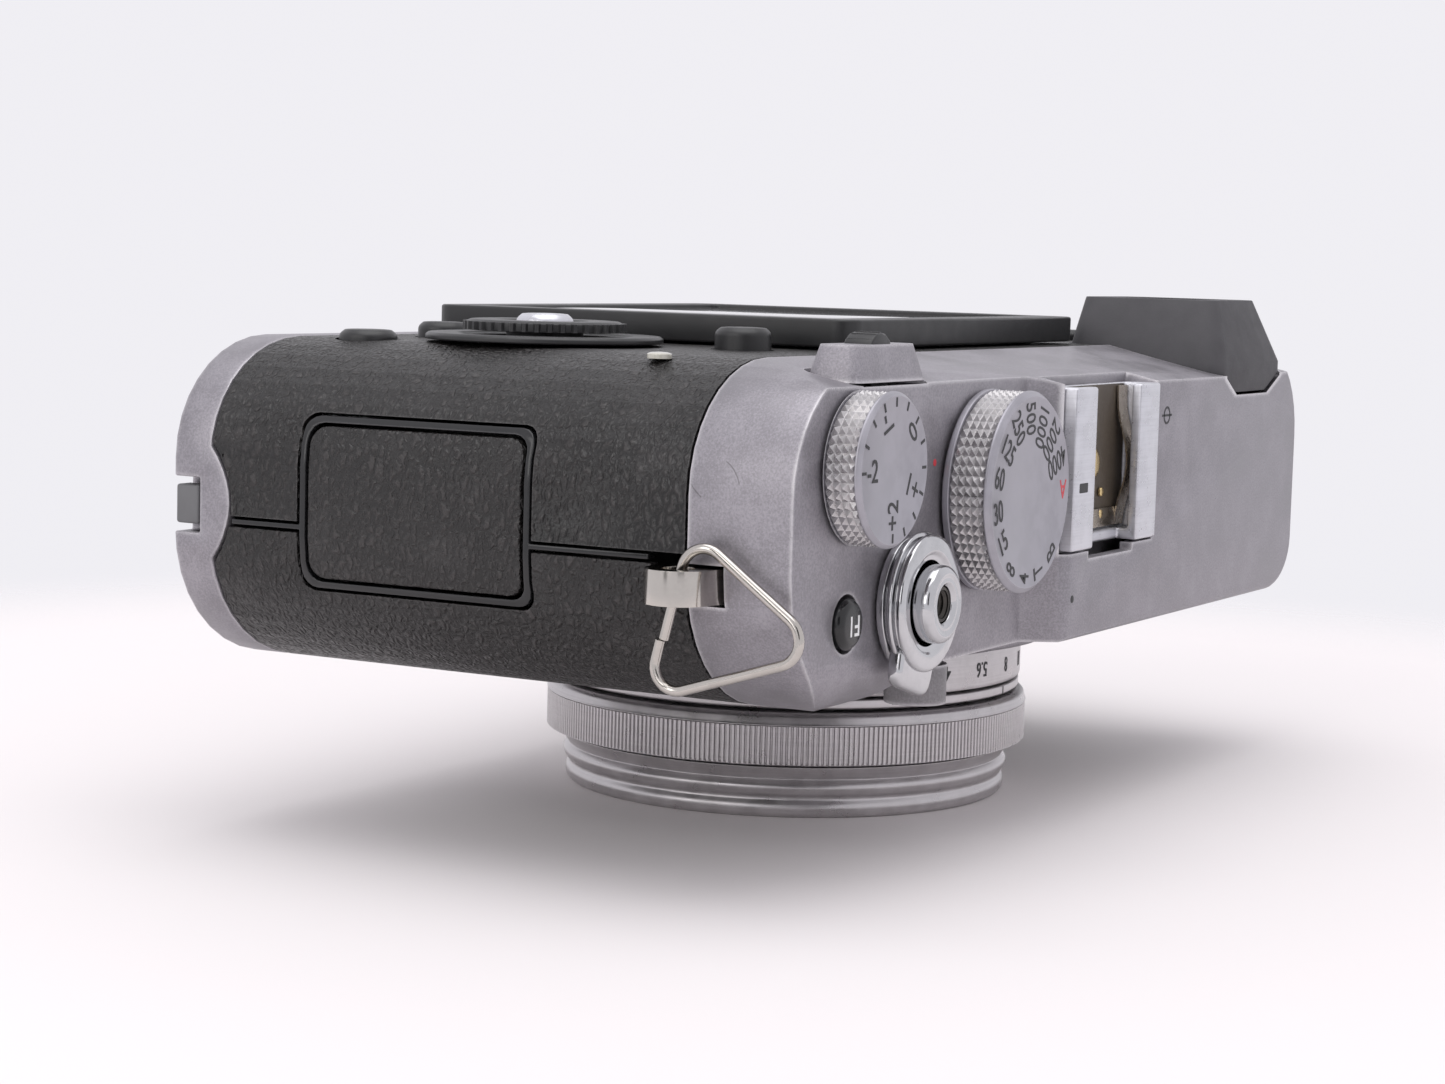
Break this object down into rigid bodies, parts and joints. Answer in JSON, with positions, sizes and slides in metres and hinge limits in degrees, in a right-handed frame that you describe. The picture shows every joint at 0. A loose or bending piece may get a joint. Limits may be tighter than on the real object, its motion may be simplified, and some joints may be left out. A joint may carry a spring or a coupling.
{
  "type": "compact camera",
  "caption": "Retro fixed-lens compact camera lying on its lens, with turning dials and rings, sprung buttons, hinged doors, an accessory shoe and swinging strap rings.",
  "frame": {"origin": "middle of the bounding box in X and Y, on the surface that the lens's front ring stands on", "axes": "+X to the grip end with the terminal door, +Y to the top plate with the dials, +Z out of the camera's back; the lens points down along -Z"},
  "size_m": [0.136, 0.075, 0.0555],
  "materials": {
    "satin_silver": "satin sprayed silver-grey",
    "bright_silver": "machined and bead-blasted",
    "chrome": "polished",
    "steel": "polished steel",
    "leatherette": "pebbled black leatherette",
    "black_plastic": "moulded black plastic",
    "rubber": "dark grey soft plastic",
    "glass": "coated glass",
    "circuit": "solder-masked board",
    "brass": "gold-plated contact"
  },
  "bodies": {
    "camera_body": {"top_cover": "satin_silver", "bottom_cover": "satin_silver", "lens_base": "satin_silver", "toggle_housing": "satin_silver", "front_cover": "leatherette", "rear_cover": "leatherette", "terminal_rim": "black_plastic", "lens_barrel": "black_plastic", "leaf_shutter": "black_plastic", "lcd_frame": "black_plastic", "lcd_panel": "black_plastic", "ring_dial_plate": "black_plastic", "battery": "black_plastic", "memory_card": "black_plastic", "finder_block": "black_plastic", "flash_capacitor": "black_plastic", "coupler_tab": "rubber", "eyepiece_frame": "rubber", "terminal_sockets": "steel", "tripod_socket": "steel", "lug_right": "steel", "lug_left": "steel", "hot_shoe_spring": "steel", "chassis": "steel", "hot_shoe": "bright_silver", "front_ring": "bright_silver", "index_ring": "bright_silver", "hot_shoe_contact": "brass", "front_element": "glass", "rear_element": "glass", "finder_window": "glass", "flash_window": "glass", "lcd_window": "glass", "eyepiece_lens": "glass", "image_sensor": "glass", "main_board": "circuit"},
    "shutter_speed_dial": {"shutter_speed_dial": "bright_silver"},
    "exposure_dial": {"exposure_dial": "bright_silver"},
    "power_lever": {"power_lever": "chrome"},
    "shutter_button": {"shutter_button": "chrome"},
    "fn_button": {"fn_button": "black_plastic"},
    "command_toggle": {"command_toggle": "black_plastic"},
    "ring_dial": {"ring_dial": "black_plastic"},
    "ok_button": {"ok_button": "black_plastic"},
    "display_button": {"display_button": "black_plastic"},
    "quick_button": {"quick_button": "black_plastic"},
    "lock_button": {"lock_button": "black_plastic"},
    "left_button_1": {"left_button_1": "black_plastic"},
    "left_button_2": {"left_button_2": "black_plastic"},
    "left_button_3": {"left_button_3": "black_plastic"},
    "left_button_4": {"left_button_4": "black_plastic"},
    "diopter_wheel": {"diopter_wheel": "black_plastic"},
    "focus_ring": {"focus_ring": "bright_silver"},
    "aperture_ring": {"aperture_ring": "bright_silver"},
    "finder_lever": {"finder_lever": "bright_silver"},
    "terminal_door": {"terminal_door": "leatherette"},
    "battery_door": {"battery_door": "satin_silver"},
    "battery_latch": {"battery_latch": "black_plastic"},
    "strap_ring_right": {"strap_ring_right": "steel"},
    "strap_ring_left": {"strap_ring_left": "steel"}
  },
  "joints": [
    {"name": "shutter_speed_dial_turn", "type": "hinge", "parent": "camera_body", "child": "shutter_speed_dial", "pos_m": [0.02325, 0.0322, 0.03671], "axis": [0, 1, 0], "continuous": true},
    {"name": "exposure_dial_turn", "type": "hinge", "parent": "camera_body", "child": "exposure_dial", "pos_m": [0.05155, 0.0322, 0.04026], "axis": [0, 1, 0], "range_deg": [-180, 90]},
    {"name": "power_lever_turn", "type": "hinge", "parent": "camera_body", "child": "power_lever", "pos_m": [0.04045, 0.0322, 0.027], "axis": [0, 1, 0], "range_deg": [0, 30]},
    {"name": "shutter_button_press", "type": "slide", "parent": "camera_body", "child": "shutter_button", "axis": [0, -1, 0], "range_m": [0, 0.0013], "stiffness_N_per_m": 900},
    {"name": "fn_button_press", "type": "slide", "parent": "camera_body", "child": "fn_button", "axis": [0, -1, 0], "range_m": [0, 0.0007], "stiffness_N_per_m": 600},
    {"name": "command_toggle_rock", "type": "hinge", "parent": "camera_body", "child": "command_toggle", "pos_m": [0.04345, 0.02891, 0.0479], "axis": [0, 1, 0], "range_deg": [-10, 10], "stiffness_Nm_per_rad": 0.01},
    {"name": "ring_dial_turn", "type": "hinge", "parent": "camera_body", "child": "ring_dial", "pos_m": [0.04075, -0.0088, 0.05], "axis": [0, 0, 1], "continuous": true},
    {"name": "ok_button_press", "type": "slide", "parent": "camera_body", "child": "ok_button", "axis": [0, 0, -1], "range_m": [0, 0.0004], "stiffness_N_per_m": 600},
    {"name": "display_button_press", "type": "slide", "parent": "camera_body", "child": "display_button", "axis": [0, 0, -1], "range_m": [0, 0.0004], "stiffness_N_per_m": 600},
    {"name": "quick_button_press", "type": "slide", "parent": "camera_body", "child": "quick_button", "axis": [0, 0, -1], "range_m": [0, 0.0004], "stiffness_N_per_m": 600},
    {"name": "lock_button_press", "type": "slide", "parent": "camera_body", "child": "lock_button", "axis": [0, 0, -1], "range_m": [0, 0.0004], "stiffness_N_per_m": 600},
    {"name": "left_button_1_press", "type": "slide", "parent": "camera_body", "child": "left_button_1", "axis": [0, 0, -1], "range_m": [0, 0.0004], "stiffness_N_per_m": 600},
    {"name": "left_button_2_press", "type": "slide", "parent": "camera_body", "child": "left_button_2", "axis": [0, 0, -1], "range_m": [0, 0.0004], "stiffness_N_per_m": 600},
    {"name": "left_button_3_press", "type": "slide", "parent": "camera_body", "child": "left_button_3", "axis": [0, 0, -1], "range_m": [0, 0.0004], "stiffness_N_per_m": 600},
    {"name": "left_button_4_press", "type": "slide", "parent": "camera_body", "child": "left_button_4", "axis": [0, 0, -1], "range_m": [0, 0.0004], "stiffness_N_per_m": 600},
    {"name": "diopter_wheel_turn", "type": "hinge", "parent": "camera_body", "child": "diopter_wheel", "pos_m": [-0.06005, 0.0217, 0.0464], "axis": [0, 1, 0], "range_deg": [-135, 135]},
    {"name": "focus_ring_turn", "type": "hinge", "parent": "camera_body", "child": "focus_ring", "pos_m": [-0.00245, -0.0028, 0.008], "axis": [0, 0, 1], "continuous": true},
    {"name": "aperture_ring_turn", "type": "hinge", "parent": "camera_body", "child": "aperture_ring", "pos_m": [-0.00245, -0.0028, 0.015], "axis": [0, 0, 1], "range_deg": [-37.5, 50]},
    {"name": "finder_lever_flick", "type": "hinge", "parent": "camera_body", "child": "finder_lever", "pos_m": [0.02935, 0.0284, 0.019], "axis": [0, 0, 1], "range_deg": [-18, 18], "stiffness_Nm_per_rad": 0.01},
    {"name": "terminal_door_hinge", "type": "hinge", "parent": "camera_body", "child": "terminal_door", "pos_m": [0.06255, -0.0088, 0.02686], "axis": [0, 1, 0], "range_deg": [0, 100]},
    {"name": "battery_door_hinge", "type": "hinge", "parent": "camera_body", "child": "battery_door", "pos_m": [0.02885, -0.0376, 0.03475], "axis": [0, 0, 1], "range_deg": [-100, 0]},
    {"name": "battery_latch_slide", "type": "slide", "parent": "battery_door", "child": "battery_latch", "axis": [1, 0, 0], "range_m": [0, 0.0022]},
    {"name": "strap_ring_right_swing", "type": "hinge", "parent": "camera_body", "child": "strap_ring_right", "pos_m": [0.06495, 0.02141, 0.0297], "axis": [0, 0, 1], "range_deg": [-170, 0]},
    {"name": "strap_ring_left_swing", "type": "hinge", "parent": "camera_body", "child": "strap_ring_left", "pos_m": [-0.06495, 0.02141, 0.0297], "axis": [0, 0, 1], "range_deg": [0, 170]}
  ]
}
